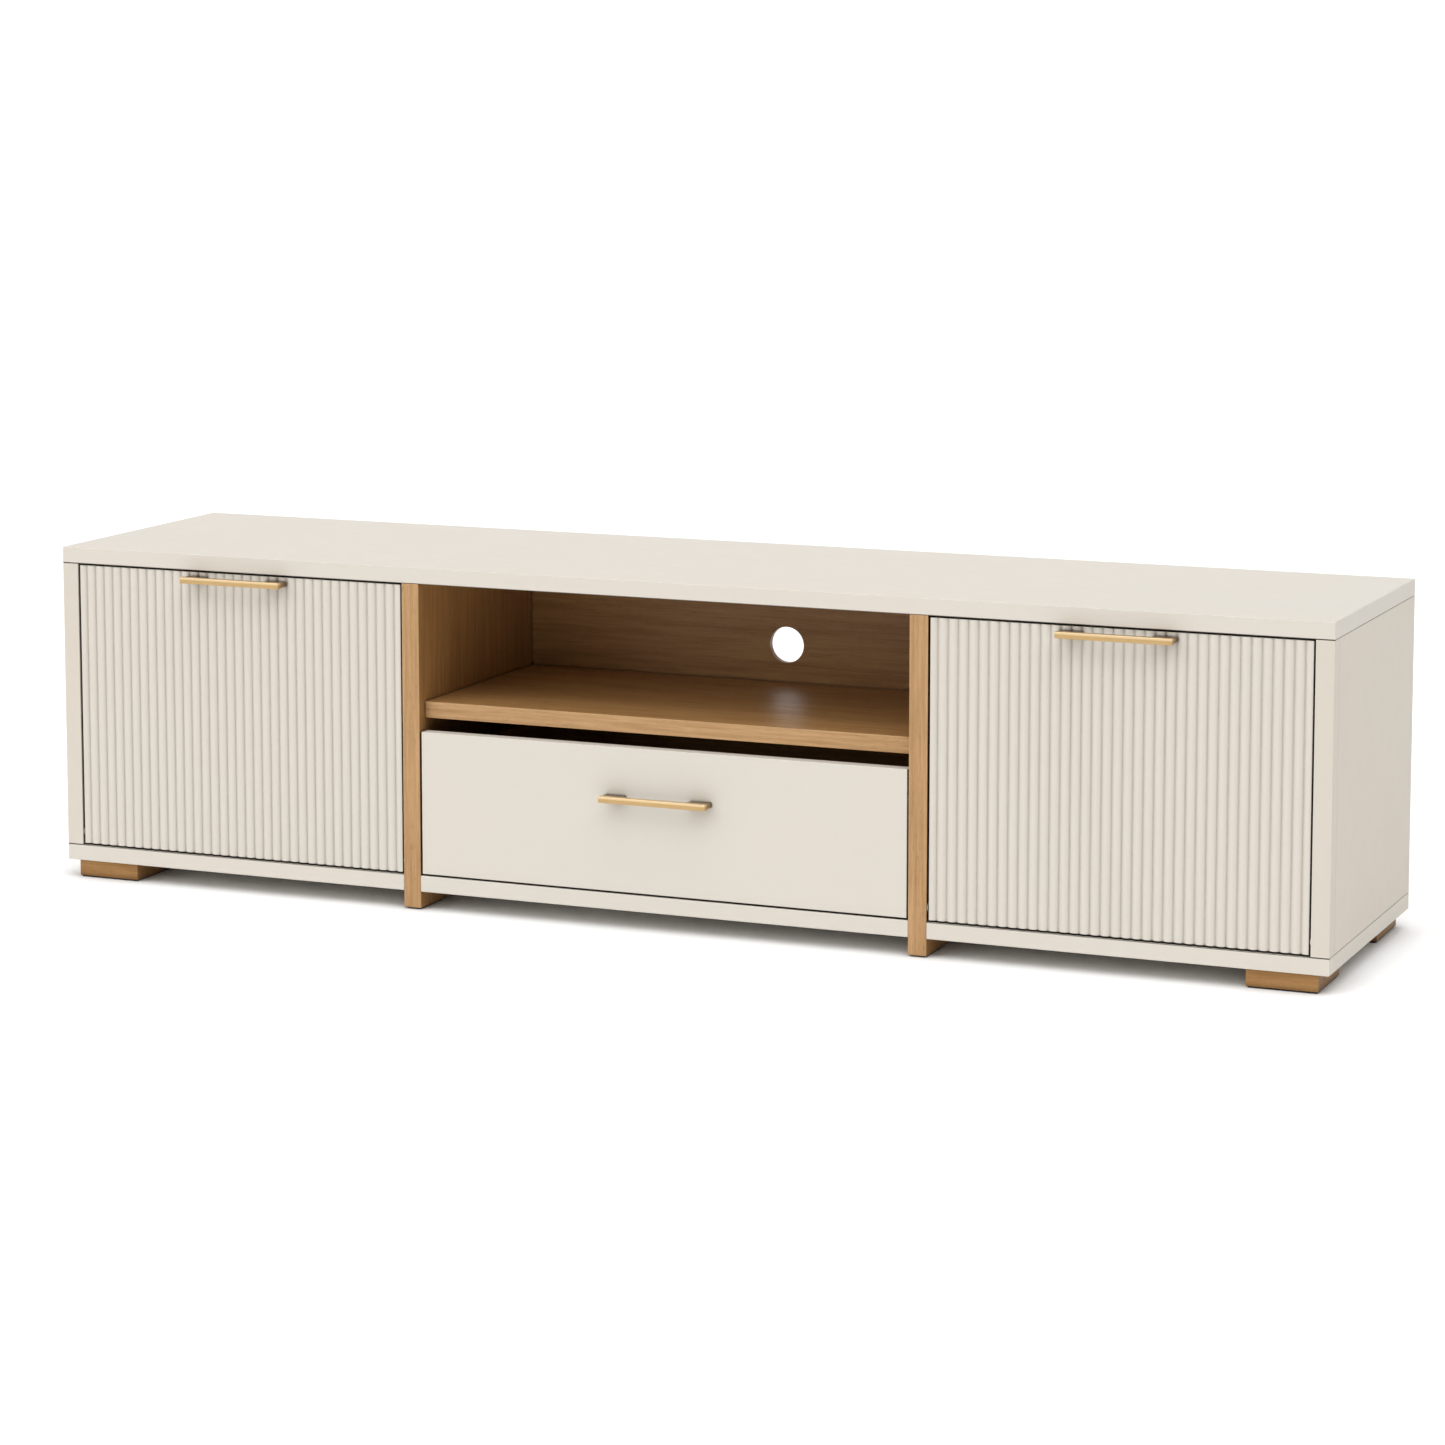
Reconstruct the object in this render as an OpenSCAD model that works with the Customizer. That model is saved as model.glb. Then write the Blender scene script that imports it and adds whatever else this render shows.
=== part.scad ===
// Long low media cabinet: painted carcass, oak centre bay, two reeded flap doors and one drawer.
// Units are millimetres, +Z is up, and the origin is on the floor at the middle of the overall box.
// Left is -X and the front is -Y. Right-hand pieces are mirror images of the left-hand ones.

/* [Overall size] */
// Width across the top panel
body_w = 1800; // [1700:10:1900]
// Depth of the carcass without the handles
body_d = 415; // [410:5:450]
// Height from the floor to the top surface
body_h = 465; // [460:5:490]
// Height of the feet, which is also the gap under the carcass
foot_h = 25; // [22:1:35]

/* [Boards] */
// Thickness of the top, the bottom panels and the niche shelf
board_t = 22; // [20:1:24]
// Thickness of the two side panels
side_t = 24; // [20:1:26]
// Thickness of the two oak dividers
divider_t = 25; // [25:1:28]
// Clear width of the middle bay between the dividers
mid_bay_w = 698; // [660:2:720]
// Thickness of the thin rear panels
back_t = 4; // [3:1:5]

/* [Niche] */
// Height of the niche shelf's top surface above the floor
shelf_top = 282; // [270:1:295]
// How far the shelf's front edge stands behind the carcass front
shelf_set_back = 17; // [10:1:25]
// Depth of the niche, from the carcass front to its oak back
niche_d = 351; // [320:1:352]
// Thickness of the niche's oak back
niche_back_t = 9; // [6:1:12]
// Radius of the cable hole
cable_r = 25; // [20:1:30]
// Cable hole's distance to the right of the middle
cable_x = 40; // [0:1:150]
// Cable hole's centre above the shelf
cable_up = 52; // [40:1:70]

/* [Doors and drawer front] */
// Gap all round a door and beside the drawer front
gap = 2.5; // [2.5:0.1:3.5]
// How far the door crests and the drawer front stand behind the carcass front
front_inset = 1; // [0:0.5:3]
// Thickness of a door over its ribs, and of the drawer front
front_t = 18; // [18:1:20]
// Number of grooves in a reeded door
groove_n = 36; // [20:2:44]
// Height of the ribs over the groove floor
rib_h = 3; // [2:0.5:3.5]
// Width of the flat floor of a groove
groove_w = 0.8; // [0.4:0.1:1.5]
// Height of the open finger gap above the drawer front
finger_gap = 17; // [12:1:22]

/* [Handles] */
// Length of a handle bar
handle_l = 152; // [120:1:180]
// Height of the bar, and its thickness from front to back
handle_t = 8.5; // [7:0.5:10]
// How far a handle stands out from the door
handle_out = 24; // [20:1:30]
// Length of each post along the bar
post_l = 30; // [20:1:36]
// Height of each post, which hides behind the bar
post_t = 6.5; // [6:0.5:7]
// Gap from a door's top edge down to its handle
handle_drop = 4.5; // [4:0.5:10]
// Drawer front's top edge down to the middle of its handle
drawer_handle_drop = 67; // [50:1:90]

/* [Feet] */
// Width of a corner foot
foot_w = 92; // [70:1:110]
// Depth of a corner foot
foot_d = 104; // [80:1:120]
// Foot's distance in from the carcass side
foot_in_x = 15; // [8:1:25]
// Foot's distance in from the carcass front or back
foot_in_y = 6; // [4:1:20]
// Thickness of the pads under the feet and dividers
pad_t = 2; // [1:0.5:3]

/* [Flap hinges and stays] */
// Hinge axis behind the crest of the ribs
pivot_in = 7; // [6.5:0.5:8]
// Hinge axis above the door's bottom edge
pivot_up = 16; // [16:0.5:20]
// Radius of the hinge pins
pivot_r = 2.5; // [2:0.1:2.6]
// Height of the stay's pin above the hinge axis
stay_up = 190; // [180:1:195]
// Angle of the stay's swivel behind the vertical, seen from the hinge axis
stay_angle = 40; // [36:1:42]
// Radius of the stay rod
stay_r = 3; // [2.5:0.1:3]

/* [Drawer box and runners] */
// Thickness of the drawer sides and back
box_t = 12; // [10:1:14]
// Height of the drawer sides
box_h = 150; // [120:1:150]
// Depth of the drawer sides
box_d = 350; // [320:1:360]
// Bottom edge of the drawer sides above the bottom panel
box_up = 15; // [12:1:20]
// Room that a runner takes between the divider and the drawer side
runner_w = 12.7; // [12.5:0.1:13]
// Height of a runner
runner_h = 45; // [40:1:46]

/* [Hidden] */
$fn = 48;

// Colours
paint = [0.89, 0.87, 0.82];
oak = [0.78, 0.60, 0.42];
gold = [0.83, 0.68, 0.44];
steel = [0.72, 0.73, 0.75];
zinc = [0.60, 0.61, 0.62];
hardboard = [0.88, 0.86, 0.82];
dark_felt = [0.16, 0.14, 0.13];
nylon = [0.92, 0.92, 0.90];
beech = [0.86, 0.74, 0.56];

// Carcass planes
half_w = body_w / 2;
handle_past = handle_out - front_inset;
front_y = (handle_past - body_d) / 2;
back_y = front_y + body_d;
floor_z = foot_h + board_t;
top_z = body_h - board_t;
side_x = -half_w + side_t;
mid_x = -mid_bay_w / 2;
divider_x = mid_x - divider_t;
shelf_z = shelf_top - board_t;

// Rear panels sit in grooves
groove_depth = 5;
back_in = 10;
back_y1 = back_y - back_in;
back_y0 = back_y1 - back_t;
slack = 0.1;
// How far a cut runs past the face that it pierces
over = 1;

// Door planes, for the left door
door_x0 = side_x + gap;
door_x1 = divider_x - gap;
door_w = door_x1 - door_x0;
door_x = (door_x0 + door_x1) / 2;
door_z0 = floor_z + gap;
door_z1 = top_z - gap;
crest_y = front_y + front_inset;
inner_y = crest_y + front_t;

// Ribs: arcs whose chord is the pitch less the groove floor
pitch = door_w / (groove_n + 0.5);
rib_chord = pitch - groove_w;
rib_r = (rib_chord * rib_chord / 4 + rib_h * rib_h) / (2 * rib_h);

// Drawer planes
drawer_z0 = floor_z + gap;
drawer_z1 = shelf_z - finger_gap;
drawer_half_w = mid_bay_w / 2 - gap;
box_x = mid_x + runner_w;
box_z0 = floor_z + box_up;
box_y1 = inner_y + box_d;
bottom_t = 6;
bottom_up = 10;
bottom_z0 = box_z0 + bottom_up;
bottom_z1 = bottom_z0 + bottom_t;
tongue = 6;
box_back_drop = 8;

// Handles: the screw passes the door and enters a blind hole in the post
screw_r = 2;
screw_x = handle_l / 2 - post_l / 2;
screw_in = 9;
screw_head_r = 4;
screw_head_t = 2.5;
handle_z = door_z1 - handle_drop - handle_t / 2;
drawer_handle_z = drawer_z1 - drawer_handle_drop;

// Hinge axis, and the pins and bushes on it
hinge_y = crest_y + pivot_in;
hinge_z = door_z0 + pivot_up;
running = 0.05;
pin_in_door = 22;
pin_out = 8;
bush_r = 4.5;
bush_l = 9;
flange_r = 6;
flange_t = 1.2;

// Stay: the swivel lies on the circle that the door pin moves on, so the rod turns at half the
// door's rate and always points through the swivel
lug_out = 9;
pin_dy = front_t - pivot_in + lug_out;
stay_circle = sqrt(pin_dy * pin_dy + stay_up * stay_up);
pin_y = hinge_y + pin_dy;
pin_z = hinge_z + stay_up;
swivel_y = hinge_y + stay_circle * sin(stay_angle);
swivel_z = hinge_z + stay_circle * cos(stay_angle);
stay_tilt = atan2(pin_y - swivel_y, swivel_z - pin_z);
open_chord = 2 * stay_circle * sin((90 + stay_angle - atan2(pin_dy, stay_up)) / 2);
stay_off = 10;
stay_x = side_x + stay_off;
block_w = 14;
block_l = 22;
block_x0 = stay_x - block_w / 2;
plate_t = 2;
stud_r = 3;
stud_in = 3;
stay_pin_r = 2.5;
eye_r = 6;
eye_t = 6;
lug_t = 2;
lug_w = 14;
lug_gap = 0.5;
lug_foot_w = 24;
pin_past = 1;
stop_r = 5;
stop_t = 3;
stop_gap = 1;
rod_l = open_chord + block_l / 2 + stop_gap;

// Feet and pads
foot_x0 = -half_w + foot_in_x;
foot_rows = [front_y + foot_in_y, back_y - foot_in_y - foot_d];
pad_in = 2;
divider_pad_l = 60;
divider_pad_in = 6;
foot_screw_r = 2.2;
foot_screw_l = 36;
foot_screw_head_r = 4.5;
foot_screw_head_t = 3;
foot_screw_in = 26;
foot_screw_side_in = 24;
foot_screw_x = foot_x0 + foot_w - foot_screw_side_in;

// Dowels and cams
dowel_r = 4;
dowel_in = [62, 80];
dowel_y = [front_y + dowel_in[0], back_y - dowel_in[1]];
cam_in = [94, 112];
cam_y = [front_y + cam_in[0], back_y - cam_in[1]];
dowel_deep = 19;
dowel_shallow = 10;
cam_r = 7.5;
cam_depth = 12.5;
cam_reach = 34;
cam_bolt_r = 3;
cam_bolt_in = 10;
cam_bolt_end = 4;

// Runners: nested steel channels
channel_t = 1.4;
member_gap = 0.4;
runner_z = box_z0 + box_h / 2;
runner_short = 3;
runner_y0 = inner_y + runner_short;
runner_l = box_d - 2 * runner_short;
middle_h = runner_h - 2 * channel_t - 2 * member_gap;
inner_h = middle_h - 2 * channel_t - 2 * member_gap;
web_gap = 1.6;
flange_short = 1.7;
middle_x0 = mid_x + channel_t + web_gap;
inner_x0 = middle_x0 + channel_t + web_gap;
flange_x1 = box_x - flange_short;

// Small screws that hold the fittings
tiny_r = 1.75;
tiny_head_r = 3.2;
tiny_head_t = 1.2;
tiny_l = 10;
plate_screw_dz = 19;
plate_w = 16;
plate_h = 50;
runner_screw_in = 40;
runner_screw_y = [runner_y0 + runner_screw_in, runner_y0 + runner_l - runner_screw_in];

// Magnetic catch and its strike plate
catch_w = 44;
catch_h = 12;
catch_d = 13;
strike_t = 1;
strike_w = 40;
strike_h = 10;
strike_down = 1;
catch_gap = 0.3;
catch_screw_dx = 16;

// A box between two opposite corners
module block(lo, hi) { translate(lo) cube(hi - lo); }

// Round bars along each axis, from a start point
module bar_x(p, l, r) { translate(p) rotate([0, 90, 0]) cylinder(h = l, r = r); }
module bar_y(p, l, r) { translate(p) rotate([-90, 0, 0]) cylinder(h = l, r = r); }
module bar_z(p, l, r) { translate(p) cylinder(h = l, r = r); }

// Draws its children and their mirror image on the other side of the cabinet
module both_sides() {
    children();
    mirror([1, 0, 0]) children();
}

// Dowels that join the boards; extra widens them to make their holes
module dowel_set(extra) {
    l = dowel_deep + dowel_shallow + 2 * extra;
    both_sides() for (y = dowel_y) {
        for (x = [-half_w + side_t / 2, mid_x - divider_t / 2])
            bar_z([x, y, top_z - dowel_deep - extra], l, dowel_r + extra);
        bar_z([-half_w + side_t / 2, y, floor_z - dowel_shallow - extra], l, dowel_r + extra);
        bar_x([divider_x - dowel_deep - extra, y, foot_h + board_t / 2], l, dowel_r + extra);
        for (z = [foot_h + board_t / 2, shelf_z + board_t / 2])
            bar_x([mid_x - dowel_shallow - extra, y, z], l, dowel_r + extra);
    }
}

// Cam discs, set into the faces that look into the side bays
module cam_disc_set(extra) {
    both_sides() for (y = cam_y) {
        for (z = [top_z - cam_reach, floor_z + cam_reach])
            bar_x([side_x - cam_depth - extra, y, z], cam_depth + extra, cam_r + extra);
        bar_x([divider_x, y, top_z - cam_reach], cam_depth + extra, cam_r + extra);
    }
}

// Bolts that run from the top or bottom panel into the cam discs
module cam_bolt_set(extra) {
    both_sides() for (y = cam_y) {
        for (x = [side_x - cam_depth / 2, divider_x + cam_depth / 2])
            bar_z([x, y, top_z - cam_reach + cam_bolt_end - extra],
                cam_reach - cam_bolt_end + cam_bolt_in + 2 * extra, cam_bolt_r + extra);
        bar_z([side_x - cam_depth / 2, y, floor_z - cam_bolt_in - extra],
            cam_reach - cam_bolt_end + cam_bolt_in + 2 * extra, cam_bolt_r + extra);
    }
}

// Screws that go down through the bottom panels into the feet
module foot_screw_set(extra) {
    both_sides() for (y0 = foot_rows) for (y = [y0 + foot_screw_in, y0 + foot_d - foot_screw_in]) {
        bar_z([foot_screw_x, y, floor_z - foot_screw_l - extra],
            foot_screw_l + extra, foot_screw_r + extra);
        bar_z([foot_screw_x, y, floor_z - foot_screw_head_t - extra],
            foot_screw_head_t + extra, foot_screw_head_r + extra);
    }
}

// Small screws of the stay plates, the catches and the runners' fixed members
module fitting_screw_set(extra) {
    both_sides() {
        for (z = [swivel_z - plate_screw_dz, swivel_z + plate_screw_dz]) {
            bar_x([side_x - tiny_l, swivel_y, z], tiny_l + plate_t, tiny_r + extra);
            bar_x([side_x + plate_t, swivel_y, z], tiny_head_t, tiny_head_r);
        }
        for (y = runner_screw_y) {
            bar_x([mid_x - tiny_l, y, runner_z], tiny_l + channel_t, tiny_r + extra);
            bar_x([mid_x + channel_t, y, runner_z], tiny_head_t, tiny_head_r);
        }
        for (dx = [-catch_screw_dx, catch_screw_dx])
            bar_z([door_x + dx, inner_y + strike_t + catch_gap + catch_d / 2, top_z - catch_h],
                catch_h + tiny_l, tiny_r + extra);
    }
}

// Everything that is drilled out of the carcass boards
module drilling() {
    dowel_set(slack);
    cam_disc_set(slack);
    cam_bolt_set(slack);
    foot_screw_set(slack);
    fitting_screw_set(slack);
    both_sides() pivot_bush_holes();
}

// Holes for the flanged bushes in the side panel and the divider
module pivot_bush_holes() {
    bar_x([side_x - bush_l - slack, hinge_y, hinge_z], bush_l + slack, bush_r + slack);
    bar_x([divider_x, hinge_y, hinge_z], bush_l + slack, bush_r + slack);
}

// Thin rear panel of the left bay, and of the drawer bay
module side_back(extra) {
    block([side_x - groove_depth - extra, back_y0 - extra, floor_z - groove_depth - extra],
        [divider_x + groove_depth + extra, back_y1 + extra, top_z + groove_depth + extra]);
}
module drawer_bay_back(extra) {
    block([mid_x - groove_depth - extra, back_y0 - extra, floor_z - groove_depth - extra],
        [-mid_x + groove_depth + extra, back_y1 + extra, shelf_z + groove_depth + extra]);
}

// A carcass board with its holes and its grooves for the rear panels
module carcass_board(lo, hi) {
    difference() {
        block(lo, hi);
        drilling();
        both_sides() side_back(slack);
        drawer_bay_back(slack);
    }
}

module top_panel() {
    color(paint) carcass_board([-half_w, front_y, top_z], [half_w, back_y, body_h]);
}

module side_panel() {
    carcass_board([-half_w, front_y, floor_z], [side_x, back_y, top_z]);
}
module left_side_panel() { color(paint) side_panel(); }
module right_side_panel() { color(paint) mirror([1, 0, 0]) side_panel(); }

module divider() {
    carcass_board([divider_x, front_y, pad_t], [mid_x, back_y, top_z]);
}
module left_divider() { color(oak) divider(); }
module right_divider() { color(oak) mirror([1, 0, 0]) divider(); }

module side_bottom() {
    carcass_board([-half_w, front_y, foot_h], [divider_x, back_y, floor_z]);
}
module left_bottom_panel() { color(paint) side_bottom(); }
module right_bottom_panel() { color(paint) mirror([1, 0, 0]) side_bottom(); }
module middle_bottom_panel() {
    color(paint) carcass_board([mid_x, front_y, foot_h], [-mid_x, back_y, floor_z]);
}

module niche_shelf() {
    color(oak) carcass_board([mid_x, front_y + shelf_set_back, shelf_z], [-mid_x, back_y, shelf_top]);
}

module niche_back_panel() {
    color(oak) difference() {
        block([mid_x, front_y + niche_d, shelf_top], [-mid_x, front_y + niche_d + niche_back_t, top_z]);
        bar_y([cable_x, front_y + niche_d - over, shelf_top + cable_up], niche_back_t + 2 * over, cable_r);
    }
}

module left_back_panel() { color(hardboard) side_back(0); }
module right_back_panel() { color(hardboard) mirror([1, 0, 0]) side_back(0); }
module drawer_bay_back_panel() { color(hardboard) drawer_bay_back(0); }

// Corner foot, at the front left and at the rear left
module foot(y0) {
    difference() {
        block([foot_x0, y0, pad_t], [foot_x0 + foot_w, y0 + foot_d, foot_h]);
        foot_screw_set(slack);
    }
}
module front_left_foot() { color(oak) foot(foot_rows[0]); }
module front_right_foot() { color(oak) mirror([1, 0, 0]) foot(foot_rows[0]); }
module rear_left_foot() { color(oak) foot(foot_rows[1]); }
module rear_right_foot() { color(oak) mirror([1, 0, 0]) foot(foot_rows[1]); }

// Pads under the four feet and under the ends of the dividers
module floor_pads() {
    color(dark_felt) both_sides() {
        for (y = foot_rows)
            block([foot_x0 + pad_in, y + pad_in, 0],
                [foot_x0 + foot_w - pad_in, y + foot_d - pad_in, pad_t]);
        for (y = [front_y + divider_pad_in, back_y - divider_pad_in - divider_pad_l])
            block([divider_x + pad_in, y, 0], [mid_x - pad_in, y + divider_pad_l, pad_t]);
    }
}

module foot_screws() { color(zinc) foot_screw_set(0); }
module dowels() { color(beech) dowel_set(0); }
module cam_discs() {
    color(zinc) difference() {
        cam_disc_set(0);
        cam_bolt_set(slack);
    }
}
module cam_bolts() { color(zinc) cam_bolt_set(0); }
module fitting_screws() { color(zinc) fitting_screw_set(0); }

// Bar handle with a broad post at each end, centred on x with its middle at height z
module handle(x, z) {
    y0 = crest_y - handle_out;
    z0 = z - handle_t / 2;
    difference() {
        union() {
            block([x - handle_l / 2, y0, z0], [x + handle_l / 2, y0 + handle_t, z0 + handle_t]);
            for (x0 = [x - handle_l / 2, x + handle_l / 2 - post_l])
                block([x0, y0 + handle_t, z - post_t / 2], [x0 + post_l, crest_y, z + post_t / 2]);
        }
        for (dx = [-screw_x, screw_x])
            bar_y([x + dx, crest_y - screw_in, z], screw_in + over, screw_r + slack);
    }
}
module handle_screws(x, z) {
    for (dx = [-screw_x, screw_x]) {
        bar_y([x + dx, crest_y - screw_in + slack, z], front_t + screw_in - slack, screw_r);
        bar_y([x + dx, inner_y, z], screw_head_t, screw_head_r);
    }
}
module handle_screw_holes(x, z) {
    for (dx = [-screw_x, screw_x])
        bar_y([x + dx, crest_y - over, z], front_t + 2 * over, screw_r + slack);
}

// Outline of the reeded door seen from above, with its crests on y = 0
module reeded_outline() {
    translate([-door_w / 2, rib_h]) square([door_w, front_t - rib_h]);
    intersection() {
        translate([-door_w / 2, 0]) square([door_w, rib_h]);
        for (i = [-groove_n / 2 : groove_n / 2]) translate([i * pitch, rib_r]) circle(r = rib_r);
    }
}
module door_panel() {
    difference() {
        translate([door_x, crest_y, door_z0]) linear_extrude(height = door_z1 - door_z0) reeded_outline();
        handle_screw_holes(door_x, handle_z);
        for (x = [door_x0 - over, door_x1 - pin_in_door])
            bar_x([x, hinge_y, hinge_z], pin_in_door + over, pivot_r + slack / 2);
    }
}
module left_door_panel() { color(paint) door_panel(); }
module right_door_panel() { color(paint) mirror([1, 0, 0]) door_panel(); }
module left_door_handle() { color(gold) handle(door_x, handle_z); }
module right_door_handle() { color(gold) handle(-door_x, handle_z); }
module left_door_handle_screws() { color(zinc) handle_screws(door_x, handle_z); }
module right_door_handle_screws() { color(zinc) handle_screws(-door_x, handle_z); }

// Hinge pins in the lower corners of a door, and the bushes that they turn in
module pivot_pins() {
    bar_x([side_x - pin_out, hinge_y, hinge_z], pin_out + gap + pin_in_door, pivot_r);
    bar_x([door_x1 - pin_in_door, hinge_y, hinge_z], pin_in_door + gap + pin_out, pivot_r);
}
module pivot_bushes() {
    difference() {
        union() {
            bar_x([side_x - bush_l, hinge_y, hinge_z], bush_l, bush_r);
            bar_x([side_x, hinge_y, hinge_z], flange_t, flange_r);
            bar_x([divider_x, hinge_y, hinge_z], bush_l, bush_r);
            bar_x([divider_x - flange_t, hinge_y, hinge_z], flange_t, flange_r);
        }
        for (x = [side_x - bush_l - over, divider_x - flange_t - over])
            bar_x([x, hinge_y, hinge_z], bush_l + flange_t + 2 * over, pivot_r + running);
    }
}
module left_door_pivot_pins() { color(steel) pivot_pins(); }
module right_door_pivot_pins() { color(steel) mirror([1, 0, 0]) pivot_pins(); }
module left_door_pivot_bushes() { color(nylon) pivot_bushes(); }
module right_door_pivot_bushes() { color(nylon) mirror([1, 0, 0]) pivot_bushes(); }

// Magnetic catch under the top panel, and the plate on the door that it holds
module strike_plate() {
    z1 = door_z1 - strike_down;
    block([door_x - strike_w / 2, inner_y, z1 - strike_h], [door_x + strike_w / 2, inner_y + strike_t, z1]);
}
module magnet_catch() {
    y0 = inner_y + strike_t + catch_gap;
    difference() {
        block([door_x - catch_w / 2, y0, top_z - catch_h], [door_x + catch_w / 2, y0 + catch_d, top_z]);
        fitting_screw_set(slack);
    }
}
module left_door_strike_plate() { color(zinc) strike_plate(); }
module right_door_strike_plate() { color(zinc) mirror([1, 0, 0]) strike_plate(); }
module left_door_magnet_catch() { color(nylon) magnet_catch(); }
module right_door_magnet_catch() { color(nylon) mirror([1, 0, 0]) magnet_catch(); }

// Bracket on the door: a plate, a lug beside the rod's eye and the pin that the eye turns on
module stay_door_bracket() {
    lug_x = stay_x + eye_t / 2 + lug_gap;
    block([lug_x, inner_y, pin_z - lug_w / 2], [lug_x + lug_foot_w, inner_y + plate_t, pin_z + lug_w / 2]);
    block([lug_x, inner_y, pin_z - lug_w / 2], [lug_x + lug_t, pin_y, pin_z + lug_w / 2]);
    bar_x([lug_x, pin_y, pin_z], lug_t, lug_w / 2);
    pin_x0 = stay_x - eye_t / 2 - pin_past;
    bar_x([pin_x0, pin_y, pin_z], lug_x - pin_x0, stay_pin_r);
}

// Rod with an eye at the door end and a stop head at the other
module stay_rod() {
    difference() {
        translate([stay_x, pin_y, pin_z]) rotate([stay_tilt, 0, 0]) union() {
            rotate([0, 90, 0]) cylinder(h = eye_t, r = eye_r, center = true);
            translate([0, 0, eye_r - over]) cylinder(h = rod_l - eye_r + over, r = stay_r);
            translate([0, 0, rod_l]) cylinder(h = stop_t, r = stop_r);
        }
        bar_x([stay_x - eye_t, pin_y, pin_z], 2 * eye_t, stay_pin_r + running);
    }
}

// Block that the rod slides through, turning on the wall plate's stud
module stay_swivel_block() {
    difference() {
        translate([stay_x, swivel_y, swivel_z]) rotate([stay_tilt, 0, 0]) difference() {
            cube([block_w, block_w, block_l], center = true);
            cylinder(h = block_l + 2 * over, r = stay_r + running, center = true);
        }
        bar_x([block_x0 - over, swivel_y, swivel_z], stud_in + over + slack, stud_r + running);
    }
}
module stay_wall_plate() {
    difference() {
        union() {
            block([side_x, swivel_y - plate_w / 2, swivel_z - plate_h / 2],
                [side_x + plate_t, swivel_y + plate_w / 2, swivel_z + plate_h / 2]);
            bar_x([side_x, swivel_y, swivel_z], block_x0 + stud_in - side_x, stud_r);
        }
        for (z = [swivel_z - plate_screw_dz, swivel_z + plate_screw_dz])
            bar_x([side_x - over, swivel_y, z], plate_t + 2 * over, tiny_r + slack);
    }
}
module left_stay_door_bracket() { color(steel) stay_door_bracket(); }
module right_stay_door_bracket() { color(steel) mirror([1, 0, 0]) stay_door_bracket(); }
module left_stay_rod() { color(steel) stay_rod(); }
module right_stay_rod() { color(steel) mirror([1, 0, 0]) stay_rod(); }
module left_stay_swivel_block() { color(zinc) stay_swivel_block(); }
module right_stay_swivel_block() { color(zinc) mirror([1, 0, 0]) stay_swivel_block(); }
module left_stay_wall_plate() { color(steel) stay_wall_plate(); }
module right_stay_wall_plate() { color(steel) mirror([1, 0, 0]) stay_wall_plate(); }

// Drawer bottom; extra widens it to make its grooves
module drawer_base(extra) {
    block([box_x + box_t - tongue - extra, inner_y - tongue - extra, bottom_z0 - extra],
        [-box_x - box_t + tongue + extra, box_y1 + extra, bottom_z1 + extra]);
}
module drawer_front() {
    color(paint) difference() {
        block([-drawer_half_w, crest_y, drawer_z0], [drawer_half_w, inner_y, drawer_z1]);
        handle_screw_holes(0, drawer_handle_z);
        drawer_base(slack);
    }
}
module drawer_runner_screw_set(extra) {
    both_sides() for (y = runner_screw_y) {
        bar_x([box_x - channel_t, y, runner_z], channel_t + tiny_l, tiny_r + extra);
        bar_x([box_x - channel_t - tiny_head_t, y, runner_z], tiny_head_t, tiny_head_r);
    }
}
module drawer_side() {
    difference() {
        block([box_x, inner_y, box_z0], [box_x + box_t, box_y1, box_z0 + box_h]);
        drawer_base(slack);
        drawer_runner_screw_set(slack);
    }
}
module drawer_left_side() { color(beech) drawer_side(); }
module drawer_right_side() { color(beech) mirror([1, 0, 0]) drawer_side(); }
module drawer_back() {
    color(beech) block([box_x + box_t, box_y1 - box_t, bottom_z1],
        [-box_x - box_t, box_y1, box_z0 + box_h - box_back_drop]);
}
module drawer_bottom() { color(hardboard) drawer_base(0); }
module drawer_handle() { color(gold) handle(0, drawer_handle_z); }
module drawer_handle_screws() { color(zinc) handle_screws(0, drawer_handle_z); }
module drawer_runner_screws() { color(zinc) drawer_runner_screw_set(0); }

// One channel of a runner: a web at web_x and two flanges from x0 to x1
module channel(x0, x1, web_x, h) {
    block([web_x, runner_y0, runner_z - h / 2], [web_x + channel_t, runner_y0 + runner_l, runner_z + h / 2]);
    for (z = [runner_z - h / 2, runner_z + h / 2 - channel_t])
        block([x0, runner_y0, z], [x1, runner_y0 + runner_l, z + channel_t]);
}
module runner_cabinet_member() {
    difference() {
        channel(mid_x, flange_x1, mid_x, runner_h);
        fitting_screw_set(slack);
    }
}
module runner_middle_member() {
    channel(middle_x0, flange_x1, middle_x0, middle_h);
}
module runner_drawer_member() {
    difference() {
        channel(inner_x0, box_x, box_x - channel_t, inner_h);
        drawer_runner_screw_set(slack);
    }
}
module left_runner_cabinet_member() { color(steel) runner_cabinet_member(); }
module right_runner_cabinet_member() { color(steel) mirror([1, 0, 0]) runner_cabinet_member(); }
module left_runner_middle_member() { color(zinc) runner_middle_member(); }
module right_runner_middle_member() { color(zinc) mirror([1, 0, 0]) runner_middle_member(); }
module left_runner_drawer_member() { color(steel) runner_drawer_member(); }
module right_runner_drawer_member() { color(steel) mirror([1, 0, 0]) runner_drawer_member(); }

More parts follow.
